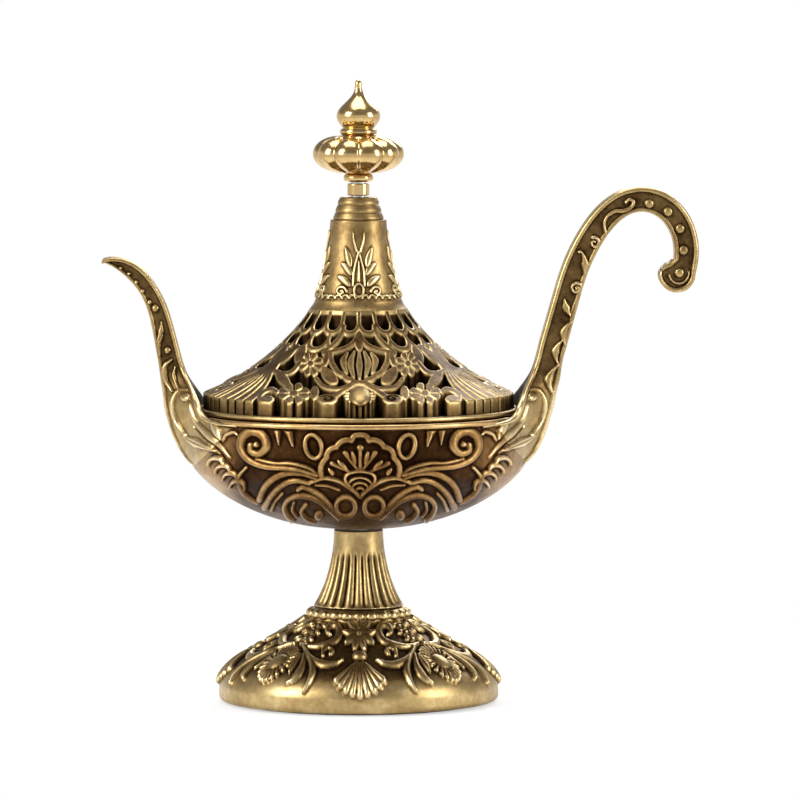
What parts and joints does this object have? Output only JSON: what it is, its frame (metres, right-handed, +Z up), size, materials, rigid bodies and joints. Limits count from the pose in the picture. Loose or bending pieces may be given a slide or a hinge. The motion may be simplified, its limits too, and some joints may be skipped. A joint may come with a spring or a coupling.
{
  "type": "incense burner",
  "caption": "Lamp-shaped incense burner in aged brass: footed bowl with spout and hooked handle, inner dish and stick holder, and a pierced lift-off lid with a bud finial.",
  "frame": {"origin": "middle of the felt pad's underside, on the axis of the bowl, foot and lid", "axes": "+Z up, +X to the handle, -X to the spout, the front faces -Y"},
  "size_m": [0.1193, 0.0682, 0.1245],
  "materials": {
    "aged_brass": "cast relief, dark patina in the hollows and worn high points",
    "polished_gold": "polished gold plating",
    "plain_brass": "plain turned and pressed brass",
    "zinc_plated_steel": "zinc plated",
    "black_felt": "pressed felt"
  },
  "bodies": {
    "base": {"base_pad": "black_felt", "foot": "aged_brass", "stem": "aged_brass", "bowl": "aged_brass", "spout": "aged_brass", "handle": "aged_brass", "tie_rod": "zinc_plated_steel", "foot_washer": "zinc_plated_steel", "foot_nut": "zinc_plated_steel", "bowl_washer": "zinc_plated_steel", "bowl_nut": "zinc_plated_steel"},
    "dish": {"incense_dish": "plain_brass", "stick_holder": "plain_brass", "holder_nut": "zinc_plated_steel"},
    "lid_ring": {"lid_flange": "aged_brass"},
    "lid": {"lid_dome": "aged_brass", "lid_neck": "aged_brass", "finial_ferrule": "polished_gold", "finial_knob": "polished_gold", "finial_stud": "zinc_plated_steel", "finial_washer": "zinc_plated_steel", "finial_nut": "zinc_plated_steel"}
  },
  "joints": [
    {"name": "dish_lift", "type": "slide", "parent": "base", "child": "dish", "axis": [0, 0, 1], "range_m": [0, 0.007]},
    {"name": "lid_lift", "type": "slide", "parent": "base", "child": "lid_ring", "axis": [0, 0, 1], "range_m": [0, 0.05]},
    {"name": "lid_turn", "type": "hinge", "parent": "lid_ring", "child": "lid", "pos_m": [0, 0, 0.0594], "axis": [0, 0, 1], "continuous": true}
  ]
}
